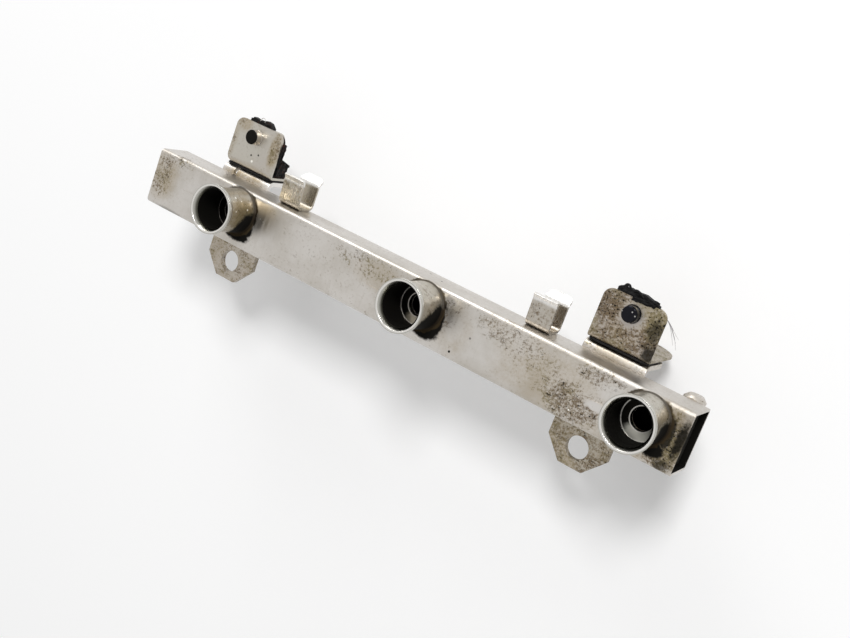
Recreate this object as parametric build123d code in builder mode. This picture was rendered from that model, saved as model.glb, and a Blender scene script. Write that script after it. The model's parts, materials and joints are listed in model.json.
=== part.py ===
"""Fuel rail for three injectors: a flat steel tube with brazed cups, bolt ears, brackets and clips.

Millimetres. X runs along the rail, +Y points from the bolt ears to the isolator mounts and +Z points
out of the injector cups. The origin is midway between the two bolt holes, in the plane where the
ears' front faces meet the tube's back wall.
"""
import os

from build123d import *

# ---- rail tube ----------------------------------------------------------------------------------
tube_length = 224.0
tube_height = 21.2
tube_depth = 15.2
tube_wall = 1.0
tube_edge_radius = 1.6
tube_bottom = 10.3  # underside above the bolt holes

# ---- injector cups ------------------------------------------------------------------------------
cup_count = 3
cup_pitch = 84.0
cup_row_centre = 14.25  # along the rail from the origin
cup_axis_drop = 8.4  # below the tube's top face
cup_height = 15.3
cup_bore_diameter = 14.0
cup_wall = 1.0
cup_floor = 2.1
cup_lip = 1.0  # flare past the body
cup_lip_height = 1.1
cup_flare_height = 1.7
cup_lead_in_depth = 1.7
cup_lead_in_width = 1.1
cup_bead = 0.5  # width of the collar at its foot
cup_bead_height = 0.7
cup_feed_diameter = 7.7

# ---- raised pads on the front face --------------------------------------------------------------
pad_pitch = 87.6
pad_row_centre = -4.8
pad_drop = 3.8  # below the cup axes
pad_length = 8.4
pad_width = 3.0
pad_rise = 0.3

# ---- end caps -----------------------------------------------------------------------------------
cap_recess = 2.2
cap_sheet = 1.0
cap_rim = 1.4
braze_gap = 0.05

# ---- bolt ears ----------------------------------------------------------------------------------
ear_spacing = 155.0
ear_hole_diameter = 8.0
ear_width = 22.0
ear_sheet = 2.4
ear_below_hole = 7.1
ear_corner_across = 6.6
ear_corner_up = 7.2
ear_lap = 8.5  # brazed height on the back wall
ear_top_cut = 3.0

# ---- isolator brackets --------------------------------------------------------------------------
isolator_spacing = 160.0
isolator_row_centre = -2.75
bracket_width = 22.8
bracket_sheet = 1.8
bracket_bend = 3.0
bracket_rise = 2.8  # shelf above the tube's top face
bracket_reach = 17.0  # shelf behind the back wall
bracket_corner = 3.0
bracket_above_ear = 0.8
relief_slot_width = 1.5
relief_tab_width = 5.4
relief_slot_depth = 5.0

# ---- isolator mounts ----------------------------------------------------------------------------
base_pad_width = 21.8
base_pad_height = 0.8
base_pad_set_back = 0.4
base_pad_depth = 14.5
base_pad_corner = 2.0

plate_width = 22.6
plate_sheet = 0.9
plate_height = 17.5
plate_corner = 3.2
plate_bend = 1.3
short_foot_reach = 17.0
long_foot_reach = 20.8  # to the centre of its round end
foot_corner = 3.0
foot_hole_diameter = 6.5

back_plate_width = 18.6
back_plate_sheet = 1.0
back_plate_foot = 1.6  # lower edge above the foot
back_plate_top_drop = 0.4
back_plate_corner = 2.6

rubber_gap = 2.4  # between the two plates
rubber_widths = {"left": 21.4, "right": 18.6}
shoulder_widths = {"left": 21.4, "right": 10.6}
shoulder_height = 5.5  # rear block above the foot
shoulder_slope = 1.8
rubber_depth = 8.6
rubber_round = 0.8
torn_edges = {  # across from the middle, above the front plate's top edge
    "left": ((-5.8, 0.3), (-5.3, 1.7), (-3.2, 1.4), (-1.0, 1.5), (1.0, 2.1), (2.9, 1.8), (4.6, 0.3)),
    "right": ((-7.9, 0.3), (-7.2, 1.7), (-4.0, 2.1), (-1.2, 1.8), (1.6, 2.0), (4.2, 1.3), (7.0, 0.3)),
}
torn_top_drop = 0.8  # top of the sound rubber below the front plate's edge

stud_diameter = 5.5
stud_height = 12.4  # above the foot's underside
stud_across = {"left": -0.55, "right": 0.05}  # from the plate's middle
stud_reach = {"left": 3.4, "right": 3.0}
stud_chamfer = 0.4
stud_head_diameter = 8.0
stud_head_height = 0.9
stud_collar_diameter = 5.9
stud_collar_rise = 0.3  # in front of the plate
stud_fit = 0.05

# ---- hose clips ---------------------------------------------------------------------------------
clip_spacing = 106.0
clip_width = 9.0
clip_sheet = 0.9
clip_depth = 9.3
clip_set_in = 1.1  # from the back wall
clip_wall_height = 9.4
clip_corner_radius = 2.0
clip_lean = 0.7
clip_lip_rise = 1.3
clip_lip_reach = 0.8
clip_tongue_rise = 2.3
clip_tongue_reach = 2.7
clip_flare_radius = 2.0
clip_tongue_corner = 2.2

# ---- inlet pipe ---------------------------------------------------------------------------------
inlet_from_end = 6.5
inlet_diameter = 7.6
inlet_bore_diameter = 5.0
inlet_flat = 0.6
inlet_rise = 1.0  # crown above the tube's top face
inlet_tail = 3.0  # open end below the tube's underside
inlet_roof = 2.5
inlet_feed_diameter = 3.0
inlet_crown_chamfer = 1.3

# ---- places that follow from the sizes ----------------------------------------------------------
tube_top = tube_bottom + tube_height
tube_middle = tube_bottom + tube_height / 2
inner_height = tube_height - 2 * tube_wall
inner_depth = tube_depth - 2 * tube_wall
inner_edge_radius = tube_edge_radius - tube_wall
cup_axis_height = tube_top - cup_axis_drop
cup_bore_radius = cup_bore_diameter / 2
cup_feed_radius = cup_feed_diameter / 2
cup_body_radius = cup_bore_radius + cup_wall
row = [k - (cup_count - 1) / 2 for k in range(cup_count)]
cup_places = [cup_row_centre + k * cup_pitch for k in row]
pad_places = [pad_row_centre + k * pad_pitch for k in row]
ear_top = tube_bottom + ear_lap
shelf_top = tube_top + bracket_rise
foot_underside = shelf_top + base_pad_height
foot_top = foot_underside + plate_sheet
plate_top = foot_underside + plate_height
plate_back = -plate_sheet
back_plate_front = plate_back - rubber_gap
back_plate_bottom = foot_top + back_plate_foot
back_plate_top = plate_top - back_plate_top_drop
back_plate_middle = (back_plate_bottom + back_plate_top) / 2
back_plate_height = back_plate_top - back_plate_bottom
stud_axis_height = foot_underside + stud_height
stud_radius = stud_diameter / 2
stud_head_radius = stud_head_diameter / 2
stud_collar_radius = stud_collar_diameter / 2
inlet_place = tube_length / 2 - inlet_from_end
inlet_radius = inlet_diameter / 2
inlet_axis_depth = inlet_radius - inlet_flat

sides = {"left": -1, "right": 1}
ear_places = {name: side * ear_spacing / 2 for name, side in sides.items()}
clip_places = {name: side * clip_spacing / 2 for name, side in sides.items()}
isolator_places = {name: isolator_row_centre + side * isolator_spacing / 2 for name, side in sides.items()}
stud_places = {name: isolator_places[name] + stud_across[name] for name in sides}
cup_names = ["left", "middle", "right"] if cup_count == 3 else [str(k + 1) for k in range(cup_count)]


def save(piece, name):
    """Label a finished piece and write it as its own STEP file."""
    piece.label = name
    export_step(piece, f"parts/{name}.step")


def make_tube():
    """Drawn rectangular tube with coined pads, a feed hole under each cup and the inlet hole."""
    with BuildPart() as tube:
        with BuildSketch(Plane.YZ.offset(-tube_length / 2)):
            with Locations((tube_middle, tube_depth / 2)):
                RectangleRounded(tube_height, tube_depth, tube_edge_radius)
                RectangleRounded(inner_height, inner_depth, inner_edge_radius, mode=Mode.SUBTRACT)
        extrude(amount=tube_length)
        with BuildSketch(Plane.XY.offset(tube_depth)):
            with Locations([(x, cup_axis_height - pad_drop) for x in pad_places]):
                Rectangle(pad_length, pad_width)
        extrude(amount=pad_rise)
        with BuildSketch(Plane.XY.offset(tube_depth)):
            with Locations([(x, cup_axis_height) for x in cup_places]):
                Circle(cup_feed_radius)
        extrude(amount=-tube_wall, mode=Mode.SUBTRACT)
        with BuildSketch():
            with Locations((inlet_place, tube_middle)):
                Circle(inlet_feed_diameter / 2)
        extrude(amount=tube_wall, mode=Mode.SUBTRACT)
    return tube.part


def make_end_cap(side):
    """Pressed pan brazed inside one end of the tube, its rim turned inwards."""
    face_place = side * (tube_length / 2 - cap_recess)
    pan_height = inner_height - 2 * braze_gap
    pan_depth = inner_depth - 2 * braze_gap
    with BuildPart() as cap:
        with BuildSketch(Plane.YZ.offset(face_place)):
            with Locations((tube_middle, tube_depth / 2)):
                RectangleRounded(pan_height, pan_depth, inner_edge_radius)
        extrude(amount=-side * (cap_sheet + cap_rim))
        with BuildSketch(Plane.YZ.offset(face_place - side * cap_sheet)):
            with Locations((tube_middle, tube_depth / 2)):
                Rectangle(pan_height - 2 * cap_sheet, pan_depth - 2 * cap_sheet)
        extrude(amount=-side * cap_rim, mode=Mode.SUBTRACT)
    return cap.part


def make_cup(place):
    """Turned injector cup: flared mouth, tapered lead-in, O-ring bore and a floor with the feed hole."""
    flare_top = cup_height - cup_lip_height
    lip_radius = cup_body_radius + cup_lip
    section = Plane(origin=(place, cup_axis_height, tube_depth), x_dir=(1, 0, 0), z_dir=(0, -1, 0))
    with BuildPart() as cup:
        with BuildSketch(section):
            with BuildLine():
                Polyline(
                    (cup_feed_radius, 0),
                    (cup_body_radius + cup_bead, 0),
                    (cup_body_radius, cup_bead_height),
                    (cup_body_radius, flare_top - cup_flare_height),
                    (lip_radius, flare_top),
                    (lip_radius, cup_height),
                    (cup_bore_radius + cup_lead_in_width, cup_height),
                    (cup_bore_radius, cup_height - cup_lead_in_depth),
                    (cup_bore_radius, cup_floor),
                    (cup_feed_radius, cup_floor),
                    close=True,
                )
            make_face()
        revolve(axis=Axis((place, cup_axis_height, 0), (0, 0, 1)))
    return cup.part


def make_ear(place):
    """Octagonal plate brazed flat on the back wall, with one bolt hole below the tube."""
    with BuildPart() as ear:
        with BuildSketch(Plane(origin=(place, 0, -ear_sheet))):
            with BuildLine():
                Polyline(
                    (0, -ear_below_hole),
                    (ear_width / 2 - ear_corner_across, -ear_below_hole),
                    (ear_width / 2, ear_corner_up - ear_below_hole),
                    (ear_width / 2, ear_top - ear_top_cut),
                    (ear_width / 2 - ear_top_cut, ear_top),
                    (0, ear_top),
                )
                mirror(about=Plane.YZ)
            make_face()
            Circle(ear_hole_diameter / 2, mode=Mode.SUBTRACT)
        extrude(amount=ear_sheet)
    return ear.part


def make_bracket(place, relief):
    """L-shaped sheet: a leg brazed on the back wall and a shelf turned back above the tube."""
    leg_bottom = ear_top + bracket_above_ear
    with BuildPart() as bracket:
        with BuildSketch(Plane.YZ.offset(place - bracket_width / 2)) as section:
            with BuildLine():
                Polyline(
                    (leg_bottom, 0),
                    (shelf_top, 0),
                    (shelf_top, -bracket_reach),
                    (shelf_top - bracket_sheet, -bracket_reach),
                    (shelf_top - bracket_sheet, -bracket_sheet),
                    (leg_bottom, -bracket_sheet),
                    close=True,
                )
            make_face()
            fillet(section.vertices().sort_by_distance((shelf_top, 0, 0))[0], radius=bracket_bend)
            inner_corner = (shelf_top - bracket_sheet, -bracket_sheet, 0)
            inner_bend = bracket_bend - bracket_sheet
            fillet(section.vertices().sort_by_distance(inner_corner)[0], radius=inner_bend)
        extrude(amount=bracket_width)
        fillet(bracket.edges().filter_by(Axis.Y).group_by(Axis.Z)[0], radius=bracket_corner)
        if relief:
            slot_middle = place - bracket_width / 2 + relief_tab_width + relief_slot_width / 2
            with BuildSketch(Plane.XZ.offset(-shelf_top)):
                with Locations((slot_middle, 0)):
                    SlotOverall(2 * relief_slot_depth, relief_slot_width, rotation=90)
            extrude(amount=bracket_rise, mode=Mode.SUBTRACT)
    return bracket.part


def make_base_pad(place):
    """Rubber layer between the bracket's shelf and the isolator's foot."""
    with BuildPart() as base_pad:
        with BuildSketch(Plane.XZ.offset(-shelf_top)):
            with Locations((place, -base_pad_set_back - base_pad_depth / 2)):
                RectangleRounded(base_pad_width, base_pad_depth, base_pad_corner)
        extrude(amount=-base_pad_height)
    return base_pad.part


def make_plate(place, stud_place, long_foot):
    """L-shaped sheet: an upright plate with the stud's hole, and a foot turned back at its lower edge.

    The long foot ends round about a bolt hole. The short foot leaves the plate's outer lower corner
    free, which is rounded like the upper ones.
    """
    reach = long_foot_reach if long_foot else short_foot_reach
    outer_edge = place - plate_width / 2
    with BuildPart() as plate:
        with BuildSketch(Plane.YZ.offset(outer_edge)) as section:
            with BuildLine():
                Polyline(
                    (plate_top, 0),
                    (foot_underside, 0),
                    (foot_underside, -reach),
                    (foot_top, -reach),
                    (foot_top, plate_back),
                    (plate_top, plate_back),
                    close=True,
                )
            make_face()
            fillet(section.vertices().sort_by_distance((foot_underside, 0, 0))[0], radius=plate_bend)
            inner_corner = (foot_top, plate_back, 0)
            fillet(section.vertices().sort_by_distance(inner_corner)[0], radius=plate_bend - plate_sheet)
        extrude(amount=plate_width)
        fillet(plate.edges().filter_by(Axis.Z).group_by(Axis.Y)[-1], radius=plate_corner)
        with BuildSketch():
            with Locations((stud_place, stud_axis_height)):
                Circle(stud_collar_radius + stud_fit)
        extrude(amount=plate_back, mode=Mode.SUBTRACT)
        if long_foot:
            with BuildSketch(Plane.XZ.offset(-foot_underside)):
                with Locations((place, -reach)):
                    Circle(plate_width / 2)
            extrude(amount=-plate_sheet)
            with BuildSketch(Plane.XZ.offset(-foot_underside)):
                with Locations((place, -reach)):
                    Circle(foot_hole_diameter / 2)
            extrude(amount=-plate_sheet, mode=Mode.SUBTRACT)
        else:
            with BuildSketch(Plane.XY.offset(plate_back)):
                with Locations((outer_edge + plate_corner / 2, foot_underside + plate_bend / 2)):
                    Rectangle(plate_corner, plate_bend)
            extrude(amount=plate_back - reach, mode=Mode.SUBTRACT)
            with BuildSketch():
                with Locations((outer_edge + plate_corner / 2, foot_underside + plate_corner / 2)):
                    Rectangle(plate_corner, plate_corner)
                with Locations((outer_edge + plate_corner, foot_underside + plate_corner)):
                    Circle(plate_corner, mode=Mode.SUBTRACT)
            extrude(amount=plate_back, mode=Mode.SUBTRACT)
            fillet(plate.edges().filter_by(Axis.Y).group_by(Axis.Z)[0], radius=foot_corner)
    return plate.part


def make_back_plate(place):
    """Second upright plate, bonded into the back of the rubber."""
    with BuildPart() as back_plate:
        with BuildSketch(Plane.XY.offset(back_plate_front)):
            with Locations((place, back_plate_middle)):
                RectangleRounded(back_plate_width, back_plate_height, back_plate_corner)
        extrude(amount=-back_plate_sheet)
    return back_plate.part


def make_block(place, stud_place, layer_width, shoulder_width, torn_edge):
    """Moulded rubber that fills the gap between the plates, torn along its top, with a rear shoulder."""
    sound_top = plate_top - torn_top_drop
    shoulder_top = foot_top + shoulder_height
    rear = plate_back - rubber_depth
    with BuildPart() as block:
        with BuildSketch(Plane.XY.offset(back_plate_front)) as layer:
            with Locations((place, (foot_top + sound_top) / 2)):
                Rectangle(layer_width, sound_top - foot_top)
            fillet(layer.vertices().group_by(Axis.Y)[-1], radius=plate_corner)
            with BuildLine():
                ridge = [(place + across, plate_top + above) for across, above in torn_edge]
                start = (ridge[0][0], sound_top)
                finish = (ridge[-1][0], sound_top)
                Polyline(*ridge, finish, start, close=True)
            make_face()
        extrude(amount=rubber_gap)
        with BuildSketch(Plane.YZ.offset(place - shoulder_width / 2)):
            with BuildLine():
                Polyline(
                    (foot_top, back_plate_front),
                    (shoulder_top + shoulder_slope, back_plate_front),
                    (shoulder_top + shoulder_slope, back_plate_front - back_plate_sheet),
                    (shoulder_top, rear),
                    (foot_top, rear),
                    close=True,
                )
            make_face()
        extrude(amount=shoulder_width)
        corners = block.edges().filter_by(Axis.X)
        fillet(corners.sort_by_distance((place, shoulder_top, rear))[0], radius=rubber_round)
        inner_bend = block.edges().filter_by(Axis.X).sort_by_distance((place, foot_top, plate_back))[0]
        fillet(inner_bend, radius=plate_bend - plate_sheet)
        with BuildSketch(Plane.XY.offset(back_plate_front)):
            with Locations((place, back_plate_middle)):
                RectangleRounded(back_plate_width, back_plate_height, back_plate_corner)
        extrude(amount=-back_plate_sheet, mode=Mode.SUBTRACT)
        with BuildSketch(Plane.XY.offset(plate_back)):
            with Locations((stud_place, stud_axis_height)):
                Circle(stud_head_radius)
        extrude(amount=-stud_head_height, mode=Mode.SUBTRACT)
    return block.part


def make_stud(place, reach):
    """Flat-headed stud: its head lies in the rubber and its collar passes through the front plate."""
    axis_plane = Plane(origin=(place, stud_axis_height, plate_back))
    with BuildPart() as stud:
        with BuildSketch(axis_plane):
            Circle(stud_head_radius)
        extrude(amount=-stud_head_height)
        with BuildSketch(axis_plane):
            Circle(stud_collar_radius)
        extrude(amount=plate_sheet + stud_collar_rise)
        with BuildSketch(axis_plane):
            Circle(stud_radius)
        extrude(amount=plate_sheet + reach)
        chamfer(stud.faces().sort_by(Axis.Z)[-1].edges(), length=stud_chamfer)
    return stud.part


def make_clip(place):
    """U-shaped spring clip bent from strip: a short front lip and a flared tongue behind."""
    base = tube_top + clip_sheet / 2
    wall_top = base + clip_wall_height
    back = clip_set_in + clip_sheet / 2
    front = clip_set_in + clip_depth - clip_sheet / 2
    with BuildPart() as clip:
        with BuildSketch(Plane.YZ.offset(place - clip_width / 2)):
            with BuildLine():
                FilletPolyline(
                    (wall_top + clip_lip_rise, front + clip_lean + clip_lip_reach),
                    (wall_top, front + clip_lean),
                    (base, front),
                    (base, back),
                    (wall_top, back),
                    (wall_top + clip_tongue_rise, back - clip_tongue_reach),
                    radius=[clip_flare_radius, clip_corner_radius, clip_corner_radius, clip_flare_radius],
                )
            trace(line_width=clip_sheet)
        extrude(amount=clip_width)
        tongue_end = clip.faces().filter_by(GeomType.PLANE).sort_by(Axis.Z)[0]
        fillet(tongue_end.edges().sort_by(SortBy.LENGTH)[:2], radius=clip_tongue_corner)
    return clip.part


def make_inlet():
    """Closed pipe brazed upright on the back wall, flat against it, open at its lower end."""
    crown = tube_top + inlet_rise
    mouth = tube_bottom - inlet_tail
    section = Plane(origin=(inlet_place, 0, -inlet_axis_depth))
    with BuildPart() as inlet:
        with BuildSketch(section):
            with BuildLine():
                Polyline(
                    (0, crown),
                    (inlet_radius - inlet_crown_chamfer, crown),
                    (inlet_radius, crown - inlet_crown_chamfer),
                    (inlet_radius, mouth),
                    (0, mouth),
                    close=True,
                )
            make_face()
        revolve(axis=Axis(section.origin, (0, 1, 0)))
        with BuildSketch(Plane.XZ.offset(-mouth)):
            with Locations((inlet_place, -inlet_axis_depth)):
                Circle(inlet_bore_diameter / 2)
        extrude(amount=-(crown - inlet_roof - mouth), mode=Mode.SUBTRACT)
        split(bisect_by=Plane.XY, keep=Keep.BOTTOM)
        with BuildSketch():
            with Locations((inlet_place, tube_middle)):
                Circle(inlet_feed_diameter / 2)
        extrude(amount=-inlet_axis_depth, mode=Mode.SUBTRACT)
    return inlet.part


os.makedirs("parts", exist_ok=True)

save(make_tube(), "rail_tube")
save(make_inlet(), "inlet_pipe")
for name, place in zip(cup_names, cup_places):
    save(make_cup(place), f"injector_cup_{name}")
for name, side in sides.items():
    isolator_place = isolator_places[name]
    save(make_end_cap(side), f"end_cap_{name}")
    save(make_ear(ear_places[name]), f"mounting_ear_{name}")
    save(make_bracket(isolator_place, relief=name == "left"), f"bracket_{name}")
    save(make_base_pad(isolator_place), f"isolator_base_pad_{name}")
    plate = make_plate(isolator_place, stud_places[name], long_foot=name == "right")
    save(plate, f"isolator_plate_{name}")
    save(make_back_plate(isolator_place), f"isolator_back_plate_{name}")
    widths = (rubber_widths[name], shoulder_widths[name])
    save(make_block(isolator_place, stud_places[name], *widths, torn_edges[name]), f"isolator_block_{name}")
    save(make_stud(stud_places[name], stud_reach[name]), f"isolator_stud_{name}")
    save(make_clip(clip_places[name]), f"hose_clip_{name}")
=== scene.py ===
"""Looks of the fuel rail: finishes, worn edges, torn rubber, light and camera."""
import json
import math

import bpy
from mathutils import Matrix, Vector

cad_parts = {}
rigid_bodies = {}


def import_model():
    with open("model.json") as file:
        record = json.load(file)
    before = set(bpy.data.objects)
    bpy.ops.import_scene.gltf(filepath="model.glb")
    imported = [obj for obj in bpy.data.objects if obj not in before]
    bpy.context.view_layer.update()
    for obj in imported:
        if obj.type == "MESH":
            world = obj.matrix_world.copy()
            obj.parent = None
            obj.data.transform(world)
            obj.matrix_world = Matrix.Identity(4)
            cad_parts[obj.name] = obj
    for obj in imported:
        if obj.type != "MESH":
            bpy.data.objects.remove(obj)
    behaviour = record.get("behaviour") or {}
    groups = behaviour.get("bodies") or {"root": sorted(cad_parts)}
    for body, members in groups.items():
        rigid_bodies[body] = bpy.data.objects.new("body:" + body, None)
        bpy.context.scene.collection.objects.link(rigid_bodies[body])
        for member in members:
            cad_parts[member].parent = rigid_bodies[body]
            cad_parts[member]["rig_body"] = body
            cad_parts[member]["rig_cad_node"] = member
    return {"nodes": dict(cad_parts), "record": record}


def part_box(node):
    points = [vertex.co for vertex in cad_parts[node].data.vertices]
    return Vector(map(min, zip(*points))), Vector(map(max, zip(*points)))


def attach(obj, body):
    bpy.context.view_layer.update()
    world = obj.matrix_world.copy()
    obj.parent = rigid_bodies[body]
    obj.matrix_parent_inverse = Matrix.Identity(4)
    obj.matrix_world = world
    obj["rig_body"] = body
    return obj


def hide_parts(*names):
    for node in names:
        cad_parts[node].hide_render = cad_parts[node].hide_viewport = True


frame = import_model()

MM = 0.001
SLOT_OF = {entry["node"]: entry["material_slot"] for entry in frame["record"]["subparts"]}
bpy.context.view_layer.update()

# ---- view ---------------------------------------------------------------------------------------
PICTURE_WIDTH = 850  # pixels
FOCAL_LENGTH = 1188.3  # pixels
SENSOR_WIDTH = 36.0
CAMERA_PLACE = Vector((190.09, 112.68, 356.63)) * MM
CAMERA_TARGET = Vector((17.16, 19.19, 15.2)) * MM
CAMERA_ROLL = math.radians(94.626)

# ---- light --------------------------------------------------------------------------------------
FLOOR_HEIGHT = -33.0 * MM
FLOOR_SIZE = 6.0
FLOOR_TONE = 0.84
FLOOR_GLOW = 0.13
SKY_TONE = 0.46  # as it lights the rail and the floor
SKY_SHEEN = 0.88  # as the steel mirrors it
KEY_LAMP = {"place": (0.42, 1.36, 1.78), "size": 0.60, "power": 31.5}
BACK_STRIP = {"place": (-0.75, 1.47, 0.58), "size": 0.85, "power": 8.9}  # low, behind the rail

# ---- sizes of the rail that the finishes follow, in millimetres --------------------------------
FRONT_FACE = 15.2  # height of the tube's front face
TUBE_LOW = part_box("rail_tube")[0][1] / MM
TUBE_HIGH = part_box("rail_tube")[1][1] / MM
TUBE_INSIDE = 0.9  # the black inside, grime and painted shade, starts this far in from the tube's outer faces
CUP_DROP = 8.4  # cup axes below the tube's top face
CUP_LINE = TUBE_HIGH - CUP_DROP
CUP_ALONG = {"left": -69.75, "middle": 14.25, "right": 98.25}
CUP_FLOOR_SHEET = 2.1
CUP_HEIGHT = 15.3
CUP_FLOOR = FRONT_FACE + CUP_FLOOR_SHEET
CUP_MOUTH = FRONT_FACE + CUP_HEIGHT
CUP_BORE = 7.0  # radius
CUP_COLLAR_RADIUS = 8.5
CUP_COLLAR_TOP = 0.7
CUP_BODY_RADIUS = 8.0
CUP_FLARE_START = 12.5
CUP_LIP_RADIUS = 9.0
CUP_LIP_START = 14.2
CUP_FOOT_RING_RADIUS = 8.4  # middle of the dark ring on the tube round each cup: grime and painted shade
CUP_LEAD_IN = 1.7  # depth
CUP_LEAD_IN_WIDTH = 1.1
CUP_FEED = 3.85  # radius
STUD_LINE = 47.5
STUD_RADIUS = 2.75
STUD_HEAD = {"radius": 4.0, "foot": -1.8, "top": -0.9}
STUD_SHANK_RADIUS = 2.95  # where it runs through the plate
STUD_PLATE_FACE = 0.3
STUD_END_CHAMFER = 0.4
STUD_REACH = {"left": 3.4, "right": 3.0}
STUD_ALONG = {"left": -83.3, "right": 77.3}

# ---- how meshes are cleaned and smoothed --------------------------------------------------------
MERGE_REACH = 0.002  # millimetres
FLAT_ANGLE = math.radians(0.5)  # triangles flatter than this to each other become one face
EDGE_ANGLE = math.radians(35)
SMOOTH_ANGLE = math.radians(28)
TURNED_SIDES = 96
TURNED_EDGE_ANGLE = math.radians(25)
TURNED_SMOOTH_ANGLE = math.radians(40)
RIDGE_CUTS = 9
RIDGE_SMOOTH_ANGLE = math.radians(50)
BARE_SPECULAR = 0.06  # of soot, the only part of a steel finish that is not metal
SOOT_ROUGHNESS = 0.4  # added to the steel's own


def deselect_all():
    bpy.ops.object.select_all(action="DESELECT")


def make_active(piece):
    deselect_all()
    piece.select_set(True)
    bpy.context.view_layer.objects.active = piece


# ---- material helpers ---------------------------------------------------------------------------
def new_material(name):
    """An empty node material with its output and a Principled shader joined to it."""
    material = bpy.data.materials.new(name)
    material.use_nodes = True
    tree = material.node_tree
    tree.nodes.clear()
    output = tree.nodes.new("ShaderNodeOutputMaterial")
    shader = tree.nodes.new("ShaderNodeBsdfPrincipled")
    tree.links.new(shader.outputs["BSDF"], output.inputs["Surface"])
    return material, tree, shader


def plug(tree, value, socket):
    """Joins a node's output to a socket, or sets the socket to a plain value."""
    if isinstance(value, bpy.types.NodeSocket):
        tree.links.new(value, socket)
    else:
        socket.default_value = value


def add_node(tree, kind, sockets=(), **settings):
    made = tree.nodes.new("ShaderNode" + kind)
    for name, value in settings.items():
        setattr(made, name, value)
    for name, value in dict(sockets).items():
        plug(tree, value, made.inputs[name])
    return made


def place_of(tree, scale=(1, 1, 1), shift=(0, 0, 0)):
    """Object coordinates, stretched and shifted."""
    coordinates = add_node(tree, "TexCoord").outputs["Object"]
    sockets = {"Vector": coordinates, "Scale": scale, "Location": shift}
    return add_node(tree, "Mapping", sockets).outputs["Vector"]


def noise(tree, place, scale, detail=4.0, roughness=0.6):
    sockets = {"Vector": place, "Scale": scale, "Detail": detail, "Roughness": roughness}
    return add_node(tree, "TexNoise", sockets).outputs["Fac"]


def band(tree, value, low, high, to_low=0.0, to_high=1.0):
    """Smooth step of a value from low to high."""
    sockets = {"Value": value, "From Min": low, "From Max": high,
               "To Min": to_low, "To Max": to_high}
    return add_node(tree, "MapRange", sockets, interpolation_type="SMOOTHSTEP").outputs["Result"]


def math_node(tree, operation, first, second=0.0):
    made = add_node(tree, "Math", operation=operation)
    plug(tree, first, made.inputs[0])
    plug(tree, second, made.inputs[1])
    return made.outputs["Value"]


def times(tree, first, second):
    return math_node(tree, "MULTIPLY", first, second)


def highest(tree, values):
    """The largest of several values."""
    result = values[0]
    for value in values[1:]:
        result = math_node(tree, "MAXIMUM", result, value)
    return result


def mix_colour(tree, amount, first, second):
    made = add_node(tree, "Mix", data_type="RGBA")
    sockets = {socket.identifier: socket for socket in made.inputs}
    plug(tree, amount, sockets["Factor_Float"])
    plug(tree, first, sockets["A_Color"])
    plug(tree, second, sockets["B_Color"])
    return next(socket for socket in made.outputs if socket.identifier == "Result_Color")


def colour(red, green, blue):
    return (red, green, blue, 1.0)


def length_of(tree, vector):
    made = add_node(tree, "VectorMath", operation="LENGTH")
    plug(tree, vector, made.inputs[0])
    return made.outputs["Value"]


def patch(tree, centre, reach, ragged=0.0, core=0.4):
    """1 in the middle of an oval patch, 0 past its rim; centre and reach in millimetres."""
    scale = [1.0 / (MM * side) for side in reach]
    shift = [-middle / side for middle, side in zip(centre, reach)]
    away = length_of(tree, place_of(tree, scale, shift))
    if ragged:
        wander = noise(tree, place_of(tree), RIM_SCALE, 5.0, 0.7)
        wander = times(tree, math_node(tree, "SUBTRACT", wander, 0.5), ragged * 2.0)
        away = math_node(tree, "ADD", away, wander)
    return band(tree, away, 1.0, core)


def radius_about(tree, along, across):
    """Distance in millimetres from a line that runs straight out of the front face."""
    scale = (1.0 / MM, 1.0 / MM, 0.0)
    return length_of(tree, place_of(tree, scale, (-along, -across, 0.0)))


def height_of(tree, axis="Z"):
    """One Object coordinate in millimetres."""
    parts = add_node(tree, "SeparateXYZ", {"Vector": place_of(tree)})
    return times(tree, parts.outputs[axis], 1.0 / MM)


def ring(tree, radius, middle, half_width):
    """1 on a thin ring, 0 off it."""
    off = math_node(tree, "ABSOLUTE", math_node(tree, "SUBTRACT", radius, middle))
    return band(tree, off, half_width, half_width * 0.5)


# ---- finishes -----------------------------------------------------------------------------------
STEEL = colour(0.63, 0.605, 0.575)
STEEL_SHADE = colour(0.52, 0.495, 0.46)
# Painted highlight tone: the cups' mouths, the clips' tops and the left bracket.
HIGHLIGHT_STEEL = colour(0.80, 0.785, 0.76)
GREY_STEEL = colour(0.44, 0.43, 0.39)
CUP_STEEL = colour(0.53, 0.51, 0.46)
PLATE_GREY = colour(0.46, 0.43, 0.41)
OILY_STEEL = colour(0.08, 0.078, 0.062)
BROWN_FILM = colour(0.37, 0.30, 0.20)
OLIVE_OIL = colour(0.20, 0.165, 0.085)
BROWN_SPECK = colour(0.13, 0.09, 0.05)
# grime and painted shade round the cups' feet on the tube
GRIME_AND_SHADE = colour(0.04, 0.028, 0.014)
SOOT = colour(0.006, 0.0055, 0.0045)
# painted glints on drops
DROP_GLINT = colour(0.95, 0.93, 0.86)
# grime and painted shade at the cups' feet
CUP_FOOT_GRIME_AND_SHADE = colour(0.03, 0.022, 0.014)
PALE_FLECK = colour(0.45, 0.44, 0.42)
RUBBER_DARK = colour(0.004, 0.004, 0.005)
RUBBER_PALE = colour(0.014, 0.013, 0.012)
RED_DUST = colour(0.09, 0.03, 0.018)

# Scales of the noise in the finishes, per metre.
CLOUD_SCALE = 55.0  # uneven tone, about 2 cm across
BLOTCH_SCALE = 260.0  # where specks gather
FINE_SCALE = 1050.0  # brown specks
GRIT_SCALE = 1500.0  # black specks
RIM_SCALE = 420.0  # how a ragged patch's rim wanders
FOOT_RING_RIM_SCALE = 380.0
RUBBER_GRAIN_SCALE = 900.0
RED_DUST_SCALE = 380.0

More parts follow.
